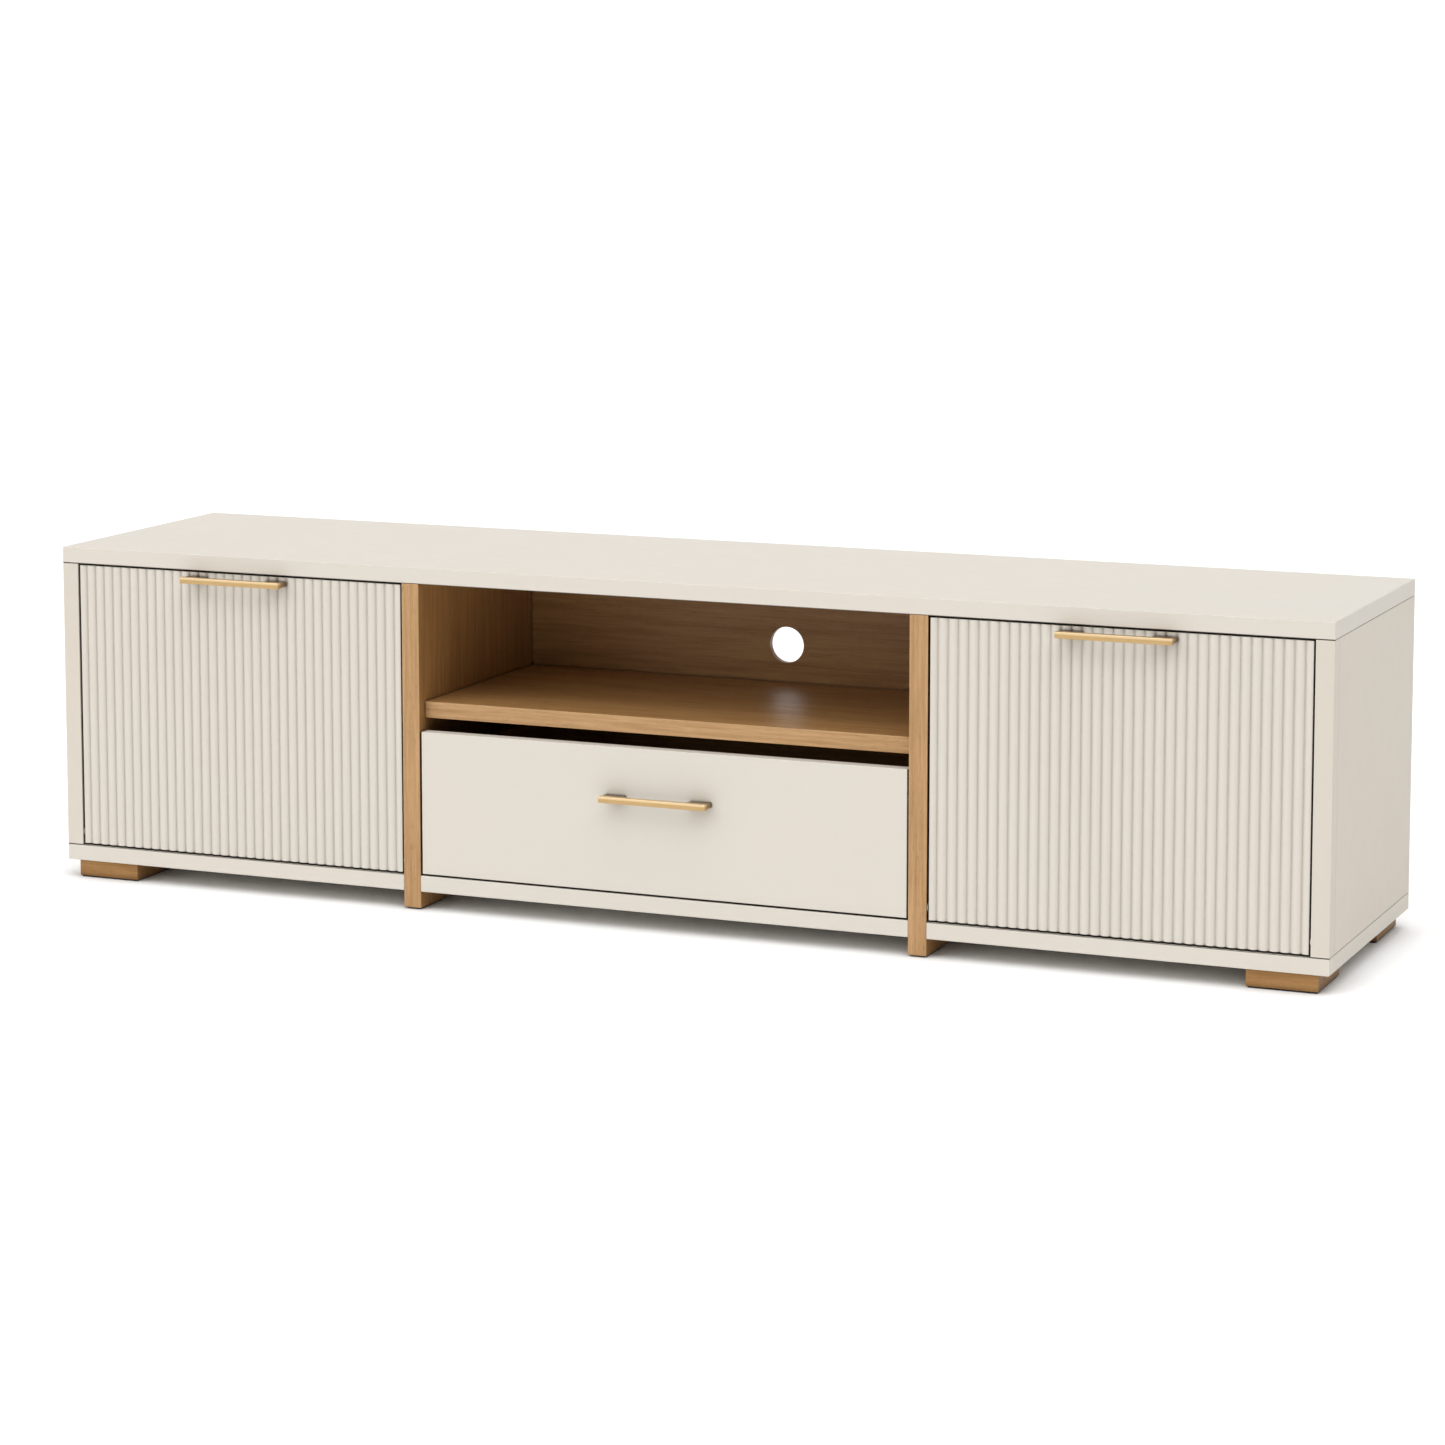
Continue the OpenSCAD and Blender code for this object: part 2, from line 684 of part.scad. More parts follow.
top_panel();
left_side_panel();
right_side_panel();
left_divider();
right_divider();
left_bottom_panel();
middle_bottom_panel();
right_bottom_panel();
niche_shelf();
niche_back_panel();
left_back_panel();
right_back_panel();
drawer_bay_back_panel();
front_left_foot();
front_right_foot();
rear_left_foot();
rear_right_foot();
floor_pads();
foot_screws();
dowels();
cam_discs();
cam_bolts();
fitting_screws();
left_door_panel();
left_door_handle();
left_door_handle_screws();
left_door_pivot_pins();
left_door_pivot_bushes();
left_door_strike_plate();
left_door_magnet_catch();
left_stay_door_bracket();
left_stay_rod();
left_stay_swivel_block();
left_stay_wall_plate();
right_door_panel();
right_door_handle();
right_door_handle_screws();
right_door_pivot_pins();
right_door_pivot_bushes();
right_door_strike_plate();
right_door_magnet_catch();
right_stay_door_bracket();
right_stay_rod();
right_stay_swivel_block();
right_stay_wall_plate();
drawer_front();
drawer_left_side();
drawer_right_side();
drawer_back();
drawer_bottom();
drawer_handle();
drawer_handle_screws();
drawer_runner_screws();
left_runner_cabinet_member();
left_runner_middle_member();
left_runner_drawer_member();
right_runner_cabinet_member();
right_runner_middle_member();
right_runner_drawer_member();
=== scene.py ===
"""Looks of the media cabinet: painted carcass, oak centre bay, reeded flap doors, brushed gold handles."""

import math

import bmesh
import bpy
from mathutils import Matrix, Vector


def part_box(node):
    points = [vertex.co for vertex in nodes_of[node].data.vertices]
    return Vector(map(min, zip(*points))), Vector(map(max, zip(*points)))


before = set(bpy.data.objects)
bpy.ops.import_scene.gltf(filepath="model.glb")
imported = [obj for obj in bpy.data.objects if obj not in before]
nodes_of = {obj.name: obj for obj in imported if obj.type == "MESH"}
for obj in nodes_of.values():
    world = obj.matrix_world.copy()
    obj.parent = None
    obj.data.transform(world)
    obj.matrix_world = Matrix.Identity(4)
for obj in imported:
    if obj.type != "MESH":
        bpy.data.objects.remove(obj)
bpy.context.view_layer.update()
scene = bpy.context.scene
SIDES = ("left", "right")
MM = 0.001

# Width of a side panel's glued front lipping
LIPPING = 24.0 * MM
# Thickness of the solid band on an oak board's front edge
EDGE_BAND = 1.5 * MM
# Radii of the rounded edges
BOARD_ROUND = 0.9 * MM
DOOR_ROUND = 0.5 * MM
OAK_ROUND = 0.8 * MM
FOOT_ROUND = 0.7 * MM
HANDLE_ROUND = 0.9 * MM
# Widest gap that gets painted shade, on each kind of piece
PAINTED_SHADE_REACH = 6.0 * MM
DOOR_PAINTED_SHADE_REACH = 5.0 * MM
DRAWER_PAINTED_SHADE_REACH = 3.5 * MM
HANDLE_PAINTED_SHADE_REACH = 20.0 * MM
FOOT_PAINTED_SHADE_REACH = 25.0 * MM
# Openness is 0 in a deep gap and 1 in the open: painted shade is full up to the first, gone by the second
FULL_SHADE_OPENNESS = 0.30
NO_SHADE_OPENNESS = 0.80
# Edges that turn by more than this, in degrees, are rounded
ROUNDED_ANGLE = 60.0
# Edges that turn by more than this, in degrees, stay sharp in the shading
CREASE_ANGLE = 36.0
# How far the floor reaches each way, in metres
FLOOR_REACH = 60.0
# Strength of the glow that keeps the floor white, and how close to it things dim it
FLOOR_GLOW = 0.20
FLOOR_SHADE_REACH = 50.0 * MM

# Colours are linear. The paint, the dust in its joints, and the painted shade in all gaps
PAINT_COOL = (0.672, 0.636, 0.570)
PAINT_WARM = (0.694, 0.636, 0.562)
PAINT_DEEP = (0.630, 0.585, 0.510)
# Lighter worn paint, which also serves as a painted highlight along the edges
PAINT_WEAR_AND_HIGHLIGHT = (0.78, 0.74, 0.67)
# Painted shade: side panels tinted warmer and darker all over, as a side face looks in shade
SIDE_PANEL_SHADE_TINT = (0.985, 0.960, 0.935)
JOINT_DUST = (0.075, 0.060, 0.045)
PAINTED_SHADE_TINT = (0.040, 0.028, 0.018)
# The oak, and the tints of its edge bands and veneers: the dividers' faces are darkest, the feet palest
OAK_LIGHT = (0.600, 0.375, 0.190)
OAK_MID = (0.520, 0.315, 0.150)
OAK_DARK = (0.400, 0.225, 0.098)
OAK_PORE = (0.250, 0.125, 0.050)
OAK_RUBBED = (0.680, 0.450, 0.250)
# Tint of the solid edge band, lighter partly as painted light on the front edges
EDGE_BAND_AND_HIGHLIGHT_TINT = (0.94, 0.905, 0.84)
VENEER_TINT = (0.765, 0.685, 0.525)
DIVIDER_TINT = (0.673, 0.575, 0.404)
FOOT_TINT = (0.850, 0.755, 0.585)
# Metals, plastic and felt
GOLD_LIGHT = (0.64, 0.44, 0.215)
GOLD_DARK = (0.50, 0.325, 0.14)
# A handle's painted highlight on the bar's upper front edge, and the painted shade on its posts
GOLD_PAINTED_HIGHLIGHT = (0.84, 0.63, 0.37)
GOLD_PAINTED_SHADE = (0.30, 0.17, 0.065)
STEEL_LIGHT = (0.66, 0.66, 0.67)
STEEL_DARK = (0.42, 0.42, 0.43)
MOULDED_WHITE = (0.78, 0.78, 0.76)
FELT_DARK = (0.012, 0.010, 0.009)
FELT_PALE = (0.055, 0.047, 0.042)
FELT_CLUMP = (0.03, 0.026, 0.023)
# The floor, and the light
FLOOR_WHITE = (0.90, 0.90, 0.90)
WHITE = (1.0, 1.0, 1.0)

# Sockets of a Mix node that mixes colours
MIX_FACTOR, MIX_A, MIX_B, MIX_RESULT = 0, 6, 7, 2


# ---------------------------------------------------------------- node trees
class Nodes:
    """A node tree, with short calls for the nodes that the finishes and the world share."""

    def __init__(self, tree):
        self.tree = tree

    def plug(self, value, socket):
        """Links an output to a socket, or sets the socket to a plain value."""
        if isinstance(value, bpy.types.NodeSocket):
            self.tree.links.new(value, socket)
        else:
            socket.default_value = value

    def plug_colour(self, colour, socket):
        """Links a colour output to a socket, or sets the socket to a plain colour."""
        self.plug(colour if isinstance(colour, bpy.types.NodeSocket) else (*colour, 1.0), socket)

    def math(self, operation, a, b=0.0):
        node = self.tree.nodes.new("ShaderNodeMath")
        node.operation = operation
        self.plug(a, node.inputs[0])
        self.plug(b, node.inputs[1])
        return node.outputs[0]

    def vector(self, operation, a, b):
        node = self.tree.nodes.new("ShaderNodeVectorMath")
        node.operation = operation
        self.plug(a, node.inputs[0])
        self.plug(b, node.inputs[1])
        return node.outputs[0]

    def split(self, vector):
        """The x, y and z of a vector."""
        node = self.tree.nodes.new("ShaderNodeSeparateXYZ")
        self.plug(vector, node.inputs[0])
        return list(node.outputs)

    def remap(self, value, low, high, to_low=0.0, to_high=1.0, curve="LINEAR"):
        """Maps the stretch from low to high onto to_low to to_high, and holds the ends beyond it."""
        node = self.tree.nodes.new("ShaderNodeMapRange")
        node.interpolation_type = curve
        for socket, bound in zip(node.inputs, (value, low, high, to_low, to_high)):
            self.plug(bound, socket)
        return node.outputs[0]

    def openness(self, reach, samples):
        """How open each point is: 0 where something is close on all sides, 1 where nothing is in reach."""
        node = self.tree.nodes.new("ShaderNodeAmbientOcclusion")
        node.samples = samples
        node.inputs["Distance"].default_value = reach
        return node.outputs["AO"]


class Shader(Nodes):
    """A new material with one principled surface."""

    def __init__(self, name):
        self.material = bpy.data.materials.new(name)
        self.material.use_nodes = True
        super().__init__(self.material.node_tree)
        self.tree.nodes.clear()
        self.surface = self.tree.nodes.new("ShaderNodeBsdfPrincipled")
        output = self.tree.nodes.new("ShaderNodeOutputMaterial")
        self.tree.links.new(self.surface.outputs["BSDF"], output.inputs["Surface"])
        coordinates = self.tree.nodes.new("ShaderNodeTexCoord")
        self.place = coordinates.outputs["Object"]
        self.facing = coordinates.outputs["Normal"]

    def noise(self, scale, stretch=(1, 1, 1), detail=2.0, rough=0.5, offset=(0, 0, 0), distort=0.0):
        """Noise with so many waves per metre, drawn out or squeezed along each axis."""
        moved = self.vector("MULTIPLY", self.vector("ADD", self.place, offset), stretch)
        node = self.tree.nodes.new("ShaderNodeTexNoise")
        self.plug(moved, node.inputs["Vector"])
        self.plug(scale, node.inputs["Scale"])
        self.plug(detail, node.inputs["Detail"])
        self.plug(rough, node.inputs["Roughness"])
        self.plug(distort, node.inputs["Distortion"])
        return node.outputs["Fac"]

    def mix(self, factor, a, b, blend="MIX"):
        node = self.tree.nodes.new("ShaderNodeMix")
        node.data_type = "RGBA"
        node.blend_type = blend
        self.plug(factor, node.inputs[MIX_FACTOR])
        self.plug_colour(a, node.inputs[MIX_A])
        self.plug_colour(b, node.inputs[MIX_B])
        return node.outputs[MIX_RESULT]

    def bump(self, height, distance, strength, under=None):
        """Bump from a height between 0 and 1, on top of the bump under it."""
        node = self.tree.nodes.new("ShaderNodeBump")
        self.plug(height, node.inputs["Height"])
        node.inputs["Distance"].default_value = distance
        node.inputs["Strength"].default_value = strength
        if under is not None:
            self.plug(under, node.inputs["Normal"])
        return node.outputs[0]

    def edge_distance(self, low, high):
        """Distance along a box's faces to its nearest edge: the middle one of the three wall distances."""
        near = self.vector("SUBTRACT", self.place, tuple(low))
        far = self.vector("SUBTRACT", tuple(high), self.place)
        a, b, c = self.split(self.vector("MINIMUM", near, far))
        inner = self.math("MINIMUM", self.math("MAXIMUM", a, b), c)
        return self.math("MAXIMUM", self.math("MINIMUM", a, b), inner)

    def paint_gap_shade(self, colour, reach=PAINTED_SHADE_REACH):
        """Paints shade into a colour: darkens it in gaps and grooves narrower than the reach."""
        clear = self.remap(self.openness(reach, samples=4), FULL_SHADE_OPENNESS, NO_SHADE_OPENNESS)
        tint = self.mix(clear, PAINTED_SHADE_TINT, WHITE)
        return self.mix(1.0, colour, tint, "MULTIPLY")

    def finish(self, colour, roughness, normal=None, **constants):
        """Sets the surface up and returns the material; constants name its sockets, with _ for spaces."""
        self.plug_colour(colour, self.surface.inputs["Base Color"])
        self.plug(roughness, self.surface.inputs["Roughness"])
        if normal is not None:
            self.plug(normal, self.surface.inputs["Normal"])
        for name, value in constants.items():
            self.surface.inputs[name.replace("_", " ")].default_value = value
        return self.material


def darker(tone, factor):
    """A colour times a factor below 1."""
    return tuple(channel * factor for channel in tone)


def drawn_out(grain, squeeze):
    """Noise stretch that makes features longer along the grain axis, by one over the squeeze."""
    return Vector([squeeze if axis == grain else 1.0 for axis in "XYZ"])


# ---------------------------------------------------------------- paint
def joint_line(s, low, high, ends):
    """How much dust shows where a board's low or high end meets the next board.

    It shows on upright faces only, and most along the front edge.
    """
    _, y, z = s.split(s.place)
    planes = {"low": low[2], "high": high[2]}
    near = [s.math("ABSOLUTE", s.math("SUBTRACT", z, planes[end])) for end in ends]
    # One end gives the same distance twice
    off_joint = s.math("MINIMUM", near[0], near[-1])
    line = s.remap(off_joint, 0.60 * MM, 1.0 * MM, 1.0, 0.0)
    upright = s.remap(s.math("ABSOLUTE", s.split(s.facing)[2]), 0.75, 0.95, 1.0, 0.0)
    depth = s.remap(y, low[1] + 2.0 * MM, low[1] + 4.0 * MM, 1.0, 0.28)
    return s.math("MULTIPLY", s.math("MULTIPLY", line, upright), depth)


def lipping_line(s, low):
    """How much of the front strip's painted shade shows, and of the faint glue line behind it."""
    behind = s.math("SUBTRACT", s.split(s.place)[1], low[1])
    strip = s.math("LESS_THAN", behind, LIPPING)
    off_line = s.math("ABSOLUTE", s.math("SUBTRACT", behind, LIPPING))
    line = s.remap(off_line, 0.5 * MM, 1.5 * MM, 1.0, 0.0)
    return strip, line


def painted(node, ends=(), lipped=False, reach=PAINTED_SHADE_REACH):
    """Satin off-white paint: faint tone drift, orange peel, and thin wear along the board's edges with a
    painted highlight.

    Dust shows in the joints at the ends that meet another board; a lipped board has painted shade on it.
    """
    s = Shader("paint_" + node)
    low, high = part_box(node)
    # The board's place shifts the noise, so that no two boards share a pattern
    seed = tuple(low * 7.3)
    drift = s.noise(2.2, detail=3.0, offset=seed)
    mottle = s.noise(38.0, detail=4.0, rough=0.6, offset=seed)
    base = s.mix(s.remap(drift, 0.3, 0.7), PAINT_COOL, PAINT_WARM)
    base = s.mix(s.remap(mottle, 0.25, 0.75, 0.0, 0.10), base, PAINT_DEEP)
    edge = s.edge_distance(low, high)
    chip = s.noise(160.0, detail=4.0, rough=0.65, offset=seed)
    rim_width = s.remap(chip, 0.35, 0.7, 0.15 * MM, 1.1 * MM)
    # Edge wear, made lighter also as a painted highlight
    edge_lightening = s.math("MULTIPLY", s.math("LESS_THAN", edge, rim_width), 0.5)
    colour = s.mix(edge_lightening, base, PAINT_WEAR_AND_HIGHLIGHT)
    if lipped:
        strip, line = lipping_line(s, low)
        # Painted shade: the whole side panel warmer and darker
        colour = s.mix(1.0, colour, SIDE_PANEL_SHADE_TINT, "MULTIPLY")
        # Painted shade: the front strip darker, like the shade along a rounded front corner
        colour = s.mix(s.math("MULTIPLY", strip, 0.35), colour, PAINT_DEEP)
        colour = s.mix(s.math("MULTIPLY", line, 0.16), colour, JOINT_DUST)
    if ends:
        colour = s.mix(joint_line(s, low, high, ends), colour, JOINT_DUST)
    # Painted shade in gaps and grooves
    colour = s.paint_gap_shade(colour, reach)
    peel = s.noise(1100.0, detail=1.0, offset=seed)
    wave = s.noise(75.0, detail=2.0, offset=seed)
    normal = s.bump(wave, 0.05 * MM, 0.5, s.bump(peel, 0.02 * MM, 0.6))
    roughness = s.remap(mottle, 0.2, 0.8, 0.48, 0.60)
    return s.finish(colour, roughness, normal, Specular_IOR_Level=0.25)


def fibreboard(node):
    """Thin painted hardboard: short flattened fibres show through the paint."""
    s = Shader("hardboard_" + node)
    low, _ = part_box(node)
    fibre = s.noise(420.0, (0.5, 1.0, 1.0), detail=5.0, rough=0.7, distort=1.2)
    drift = s.noise(6.0, detail=2.0, offset=tuple(low * 3.0))
    colour = s.mix(s.remap(fibre, 0.3, 0.7), PAINT_DEEP, darker(PAINT_DEEP, 0.90))
    colour = s.mix(s.remap(drift, 0.3, 0.7, 0.0, 0.3), colour, darker(PAINT_DEEP, 0.94))
    return s.finish(colour, s.remap(fibre, 0.3, 0.7, 0.5, 0.65), s.bump(fibre, 0.06 * MM, 0.7))


# ---------------------------------------------------------------- oak
def oak_figure(s, grain, seed):
    """Oak's colour, its long streaks, and how much of an open pore each point is."""
    along = drawn_out(grain, 0.035)
    bands = s.noise(26.0, drawn_out(grain, 0.10), detail=3.0, rough=0.55, offset=seed, distort=0.7)
    streak = s.noise(210.0, along, detail=5.0, rough=0.62, offset=seed)
    fine = s.noise(900.0, along, detail=3.0, rough=0.6, offset=seed)
    pore = s.noise(1250.0, drawn_out(grain, 0.055), detail=2.0, rough=0.5, offset=seed)
    base = s.mix(s.remap(bands, 0.32, 0.68), OAK_LIGHT, OAK_MID)
    base = s.mix(s.remap(streak, 0.42, 0.68, 0.0, 0.90), base, OAK_DARK)
    base = s.mix(s.remap(fine, 0.45, 0.70, 0.0, 0.50), base, OAK_DARK)
    holes = s.remap(pore, 0.60, 0.70)
    gathered = s.math("MULTIPLY", holes, s.remap(bands, 0.35, 0.65, 0.25, 0.9))
    return s.mix(gathered, base, OAK_PORE), streak, gathered


def oak(node, grain, banded=False, reach=PAINTED_SHADE_REACH, gloss=0.35, veneer=VENEER_TINT):
    """Oak: long streaks, growth bands and short open pores, all drawn out along the grain axis.

    A banded board's front edge is a lighter solid strip, partly painted light; its faces are darker
    veneer.
    """
    s = Shader("oak_" + node)
    low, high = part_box(node)
    seed = tuple(Vector((3.1, 1.7, 2.3)) + low * 11.0)
    base, streak, pores = oak_figure(s, grain, seed)
    edge = s.edge_distance(low, high)
    edge_lightening = s.math("MULTIPLY", s.remap(edge, 0.0, 1.2 * MM, 0.30, 0.0), s.remap(streak, 0.3, 0.6))
    colour = s.mix(edge_lightening, base, OAK_RUBBED)
    tint = veneer
    if banded:
        behind = s.math("SUBTRACT", s.split(s.place)[1], low[1])
        # The front band's lighter tint is partly painted light
        tint = s.mix(s.math("LESS_THAN", behind, EDGE_BAND), veneer, EDGE_BAND_AND_HIGHLIGHT_TINT)
    colour = s.mix(1.0, colour, tint, "MULTIPLY")
    # Painted shade in gaps and grooves
    colour = s.paint_gap_shade(colour, reach)
    height = s.math("SUBTRACT", s.math("MULTIPLY", streak, 0.6), pores)
    normal = s.bump(height, 0.10 * MM, 0.7)
    roughness = s.remap(streak, 0.3, 0.7, 0.34, 0.46)
    return s.finish(colour, roughness, normal, Specular_IOR_Level=gloss)


# ---------------------------------------------------------------- metal, plastic and felt
def brushed(node, light, dark, rough, grain="X", reach=PAINTED_SHADE_REACH, handle=False):
    """Brushed metal: fine scratches along one axis, softly polished edges.

    A handle, whose bar is as thick as the handle is high, has a painted highlight along the bar's upper
    front edge and painted shade on its posts.
    """
    s = Shader("metal_" + node)
    low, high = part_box(node)
    seed = tuple(low * 5.0)
    scratch = s.noise(2600.0, drawn_out(grain, 0.03), detail=3.0, rough=0.7, offset=seed)
    cloud = s.noise(60.0, detail=2.0, offset=seed)
    base = s.mix(s.remap(scratch, 0.3, 0.7), dark, light)
    base = s.mix(s.remap(cloud, 0.3, 0.7, 0.0, 0.25), base, dark)
    edge = s.edge_distance(low, high)
    colour = s.mix(s.remap(edge, 0.0, 0.8 * MM, 0.3, 0.0), base, light)
    if handle:
        _, y, z = s.split(s.place)
        bar = high[2] - low[2]
        # Painted highlight along the bar's upper front edge
        shine = s.remap(z, high[2] - 0.45 * bar, high[2] - 0.25 * bar, 0.0, 0.9)
        colour = s.mix(shine, colour, GOLD_PAINTED_HIGHLIGHT)
        # Painted shade on the posts, deepening towards the door
        post_shade = s.remap(y, low[1] + 0.6 * bar, low[1] + 1.1 * bar, 0.0, 0.75)
        colour = s.mix(post_shade, colour, GOLD_PAINTED_SHADE)
    # Painted shade in gaps and around the posts
    colour = s.paint_gap_shade(colour, reach)
    normal = s.bump(scratch, 0.012 * MM, 0.5)
    roughness = s.remap(scratch, 0.25, 0.75, rough - 0.05, rough + 0.08)
    return s.finish(colour, roughness, normal, Metallic=1.0, Anisotropic=0.45)


def steel(node, rough, grain="X"):
    """Brushed steel."""
    return brushed(node, STEEL_LIGHT, STEEL_DARK, rough, grain)


def moulded(node):
    """Moulded matt white plastic with a fine spark-eroded texture."""
    s = Shader("plastic_" + node)
    low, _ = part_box(node)
    speck = s.noise(1800.0, detail=2.0)
    cloud = s.noise(90.0, detail=2.0, offset=tuple(low * 3.0))
    tone = s.mix(s.remap(cloud, 0.3, 0.7), MOULDED_WHITE, darker(MOULDED_WHITE, 0.93))
    # Painted shade in gaps and grooves
    colour = s.paint_gap_shade(tone)
    return s.finish(colour, s.remap(speck, 0.3, 0.7, 0.42, 0.58), s.bump(speck, 0.02 * MM, 0.6))


def felt(node):
    """Dark pressed felt."""
    s = Shader("felt_" + node)
    fluff = s.noise(1500.0, detail=4.0, rough=0.7)
    clump = s.noise(240.0, detail=3.0)
    colour = s.mix(s.remap(fluff, 0.3, 0.7), FELT_DARK, FELT_PALE)
    colour = s.mix(s.remap(clump, 0.3, 0.7, 0.0, 0.4), colour, FELT_CLUMP)
    return s.finish(colour, 0.95, s.bump(fluff, 0.25 * MM, 1.0), Sheen_Weight=0.25)


# ---------------------------------------------------------------- rounding and dressing the CAD nodes
def crease_group():
    """Node group that shades a mesh smooth except along edges sharper than CREASE_ANGLE."""
    tree = bpy.data.node_groups.new("shade_by_angle", "GeometryNodeTree")
    tree.interface.new_socket("Geometry", in_out="INPUT", socket_type="NodeSocketGeometry")
    tree.interface.new_socket("Geometry", in_out="OUTPUT", socket_type="NodeSocketGeometry")
    source = tree.nodes.new("NodeGroupInput").outputs[0]
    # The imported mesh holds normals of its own, which don't fit the rounded edges
    clear = tree.nodes.new("GeometryNodeRemoveAttribute")
    clear.inputs["Name"].default_value = "custom_normal"
    tree.links.new(source, clear.inputs["Geometry"])
    smooth = tree.nodes.new("GeometryNodeSetShadeSmooth")
    smooth.domain = "FACE"
    tree.links.new(clear.outputs[0], smooth.inputs["Geometry"])
    sharp = tree.nodes.new("GeometryNodeSetShadeSmooth")
    sharp.domain = "EDGE"
    sharp.inputs["Shade Smooth"].default_value = False
    tree.links.new(smooth.outputs[0], sharp.inputs["Geometry"])
    steep = tree.nodes.new("ShaderNodeMath")
    steep.operation = "GREATER_THAN"
    steep.inputs[1].default_value = math.radians(CREASE_ANGLE)
    tree.links.new(tree.nodes.new("GeometryNodeInputMeshEdgeAngle").outputs[0], steep.inputs[0])
    tree.links.new(steep.outputs[0], sharp.inputs["Selection"])
    tree.links.new(sharp.outputs[0], tree.nodes.new("NodeGroupOutput").inputs[0])
    return tree


CREASES = crease_group()


def soften(node, width, segments=3):
    """Rounds a CAD node's sharp edges with modifiers; its own mesh stays as it is."""
    obj = nodes_of[node]
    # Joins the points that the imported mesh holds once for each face
    weld = obj.modifiers.new("weld", "WELD")
    weld.merge_threshold = 0.002 * MM
    # Makes each flat face one polygon
    flat = obj.modifiers.new("flat", "DECIMATE")
    flat.decimate_type = "DISSOLVE"
    flat.angle_limit = math.radians(0.5)
    bevel = obj.modifiers.new("round", "BEVEL")
    bevel.width = width
    bevel.segments = segments
    bevel.limit_method = "ANGLE"
    bevel.angle_limit = math.radians(ROUNDED_ANGLE)
    bevel.use_clamp_overlap = False
    bevel.loop_slide = False
    crease = obj.modifiers.new("crease", "NODES")
    crease.node_group = CREASES
    level = obj.modifiers.new("level", "WEIGHTED_NORMAL")
    level.keep_sharp = True
    level.weight = 100


def dress(node, material):
    """Gives a CAD node its finish."""
    for slot in nodes_of[node].material_slots:
        slot.link = "OBJECT"
        slot.material = material


def dress_boards():
    """The painted boards, with the joints at their low and high ends, and the thin backs and bottom."""
    board_ends = {"top_panel": ("low",), "middle_bottom_panel": (), "drawer_front": ()}
    for side in SIDES:
        board_ends[f"{side}_side_panel"] = ("low", "high")
        board_ends[f"{side}_bottom_panel"] = ("high",)
    for node, ends in board_ends.items():
        reach = DRAWER_PAINTED_SHADE_REACH if node == "drawer_front" else PAINTED_SHADE_REACH
        dress(node, painted(node, ends, lipped=node.endswith("side_panel"), reach=reach))
        soften(node, BOARD_ROUND)
    for node in ("left_back_panel", "right_back_panel", "drawer_bay_back_panel", "drawer_bottom"):
        dress(node, fibreboard(node))


def dress_doors():
    """The reeded doors; two segments are enough on their many short edges."""
    for side in SIDES:
        door = f"{side}_door_panel"
        dress(door, painted(door, reach=DOOR_PAINTED_SHADE_REACH))
        soften(door, DOOR_ROUND, segments=2)


def dress_oak():
    """Dividers, feet, niche, drawer box and dowels."""
    for side in SIDES:
        divider = f"{side}_divider"
        dress(divider, oak(divider, "Z", banded=True, veneer=DIVIDER_TINT))
        soften(divider, OAK_ROUND)
        for end in ("front", "rear"):
            foot = f"{end}_{side}_foot"
            dress(foot, oak(foot, "X", reach=FOOT_PAINTED_SHADE_REACH, gloss=0.12, veneer=FOOT_TINT))
            soften(foot, FOOT_ROUND)
    dress("niche_shelf", oak("niche_shelf", "X", banded=True))
    soften("niche_shelf", OAK_ROUND)
    plain_grains = {"niche_back_panel": "X", "drawer_left_side": "Y", "drawer_right_side": "Y",
                    "drawer_back": "X", "dowels": "Z"}
    for node, grain in plain_grains.items():
        dress(node, oak(node, grain))


def dress_handles():
    """The three gold bar handles."""
    for node in ("left_door_handle", "right_door_handle", "drawer_handle"):
        gold = brushed(node, GOLD_LIGHT, GOLD_DARK, rough=0.30, reach=HANDLE_PAINTED_SHADE_REACH, handle=True)
        dress(node, gold)
        soften(node, HANDLE_ROUND)


def dress_fittings():
    """Screws, cam fittings, door pivots, stays, catches, runners and floor pads."""
    for node in ("foot_screws", "cam_bolts", "cam_discs", "fitting_screws", "drawer_runner_screws",
                 "drawer_handle_screws"):
        dress(node, steel(node, rough=0.38))
    dress("floor_pads", felt("floor_pads"))
    for side in SIDES:
        for part in ("door_handle_screws", "door_pivot_pins", "door_strike_plate", "stay_door_bracket",
                     "stay_rod", "stay_swivel_block", "stay_wall_plate"):
            dress(f"{side}_{part}", steel(f"{side}_{part}", rough=0.32))
        for part in ("cabinet", "middle", "drawer"):
            member = f"{side}_runner_{part}_member"
            dress(member, steel(member, rough=0.36, grain="Y"))
        for part in ("door_pivot_bushes", "door_magnet_catch"):
            dress(f"{side}_{part}", moulded(f"{side}_{part}"))


# ---------------------------------------------------------------- stage, light and camera
def make_floor():
    """Pale floor, far wider than any view, that glows faintly except close to what stands on it."""
    mesh = bpy.data.meshes.new("floor")
    edit = bmesh.new()
    bmesh.ops.create_grid(edit, x_segments=1, y_segments=1, size=FLOOR_REACH)
    edit.to_mesh(mesh)
    edit.free()
    floor = bpy.data.objects.new("floor", mesh)
    scene.collection.objects.link(floor)
    s = Shader("floor_white")
    glow = s.remap(s.openness(FLOOR_SHADE_REACH, samples=8), 0.55, 0.95, 0.0, FLOOR_GLOW)
    s.plug(glow, s.surface.inputs["Emission Strength"])
    mesh.materials.append(s.finish(FLOOR_WHITE, 0.9, Specular_IOR_Level=0.0))


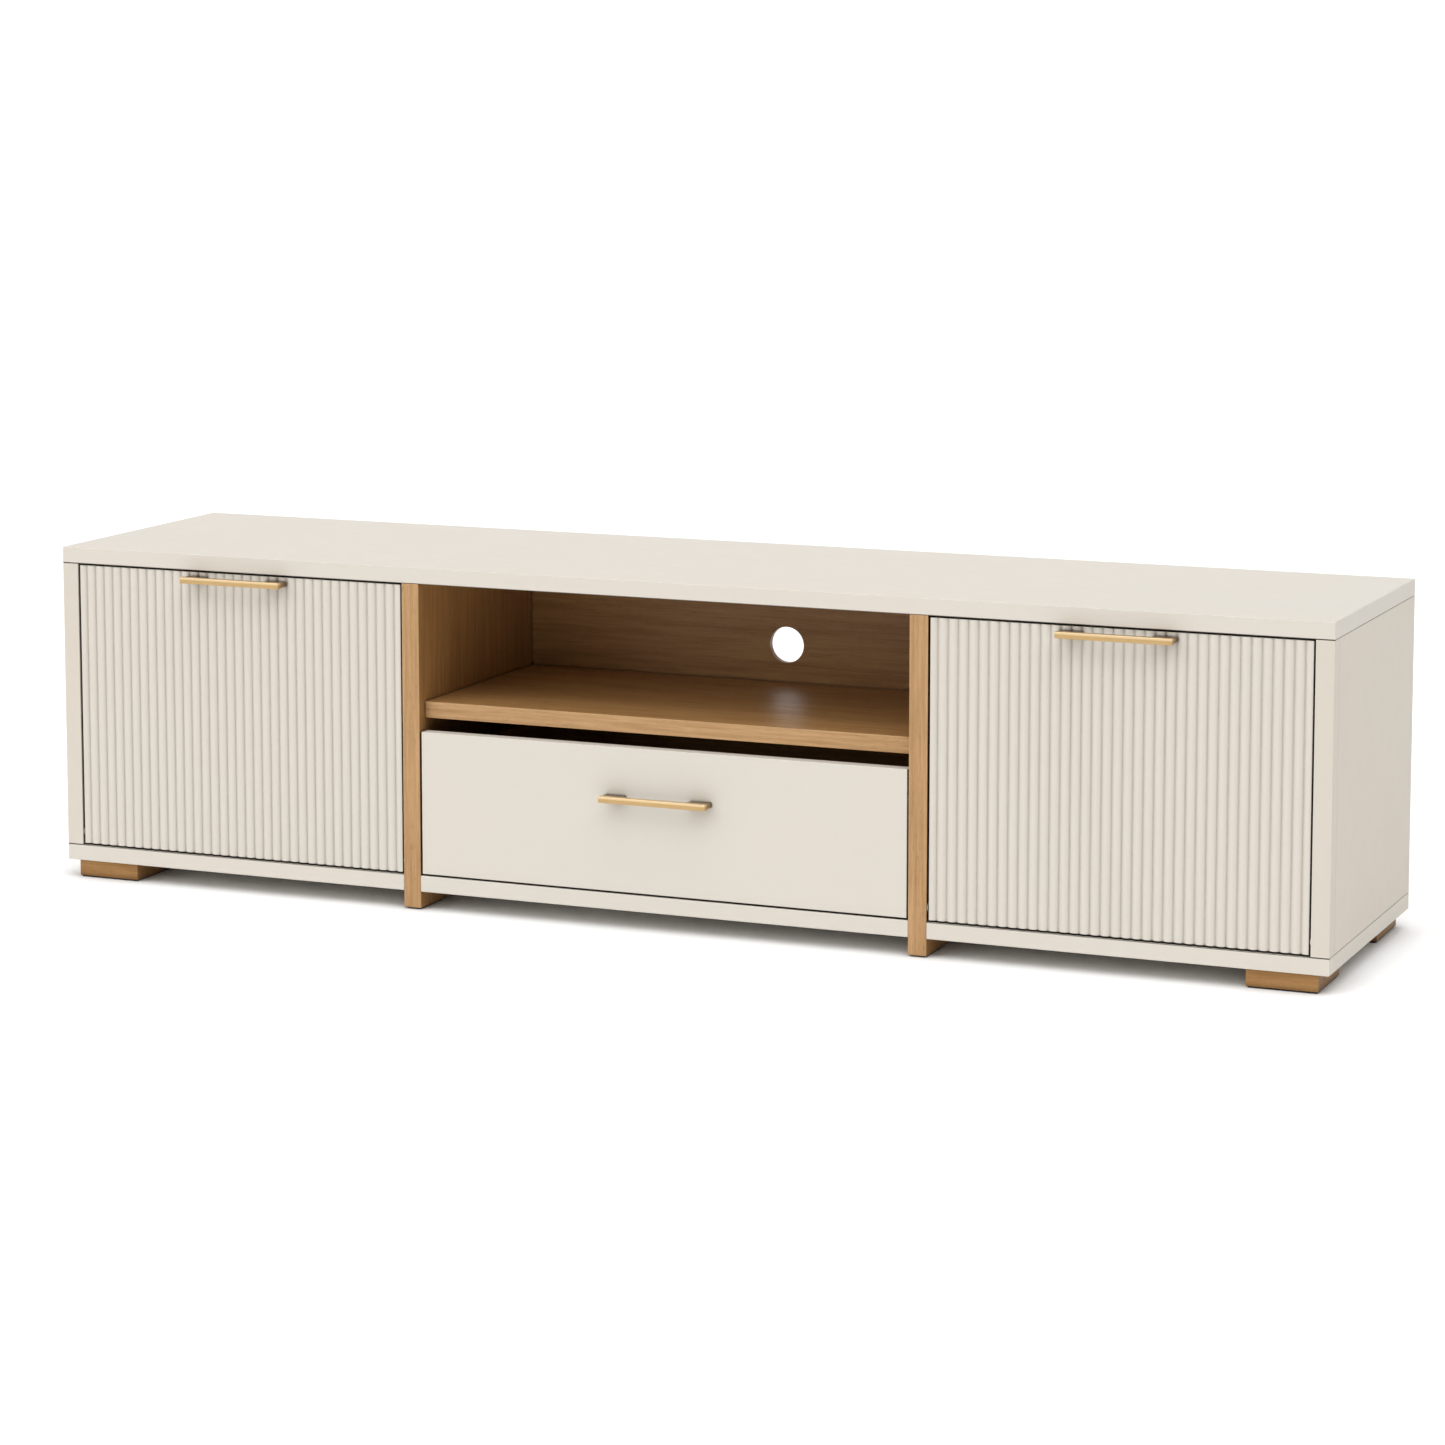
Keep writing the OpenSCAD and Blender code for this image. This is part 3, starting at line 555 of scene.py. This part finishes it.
def make_sun(name, azimuth, elevation, strength, spread):
    """A soft sun that shines from azimuth (0 is the front, 90 the right) and elevation, in degrees."""
    light = bpy.data.lights.new(name, "SUN")
    light.energy = strength
    light.angle = math.radians(spread)
    lamp = bpy.data.objects.new(name, light)
    scene.collection.objects.link(lamp)
    a, e = math.radians(azimuth), math.radians(elevation)
    source = Vector((math.sin(a) * math.cos(e), -math.cos(a) * math.cos(e), math.sin(e)))
    lamp.rotation_mode = "QUATERNION"
    lamp.rotation_quaternion = source.to_track_quat("Z", "Y")


def make_world(above, behind, around):
    """White studio: a bright wall behind the object, a softer ceiling and dim walls.

    The bright wall dims to a quarter towards the right.
    """
    world = bpy.data.worlds.new("studio")
    world.use_nodes = True
    s = Nodes(world.node_tree)
    background = s.tree.nodes["Background"]
    x, y, z = s.split(s.tree.nodes.new("ShaderNodeTexCoord").outputs["Generated"])
    back_wall = s.remap(x, 0.05, 0.50, behind, 0.25 * behind, "SMOOTHSTEP")
    walls = s.remap(y, 0.0, 0.6, around, back_wall, "SMOOTHSTEP")
    strength = s.remap(z, 0.15, 0.85, walls, above, "SMOOTHSTEP")
    s.plug(strength, background.inputs["Strength"])
    s.plug_colour(WHITE, background.inputs["Color"])
    scene.world = world


def make_camera():
    """A long lens from the front right, a little above the top, shifted so that uprights lean little."""
    data = bpy.data.cameras.new("camera")
    data.sensor_width = 36.0
    data.lens = 101.9
    data.shift_y = -0.15
    camera = bpy.data.objects.new("camera", data)
    scene.collection.objects.link(camera)
    camera.location = (2.123, -5.014, 1.212)
    # Turn to the left and downwards, in radians
    yaw, pitch = 0.3990, 0.1223
    camera.rotation_euler = (math.pi / 2 - pitch, 0.0, yaw)
    scene.camera = camera


dress_boards()
dress_doors()
dress_oak()
dress_handles()
dress_fittings()
make_floor()
make_sun("key", azimuth=-35.0, elevation=30.0, strength=1.07, spread=50.0)
make_sun("fill", azimuth=44.0, elevation=69.0, strength=1.65, spread=60.0)
make_world(above=0.50, behind=1.27, around=0.15)
make_camera()
scene.view_settings.view_transform = "Standard"
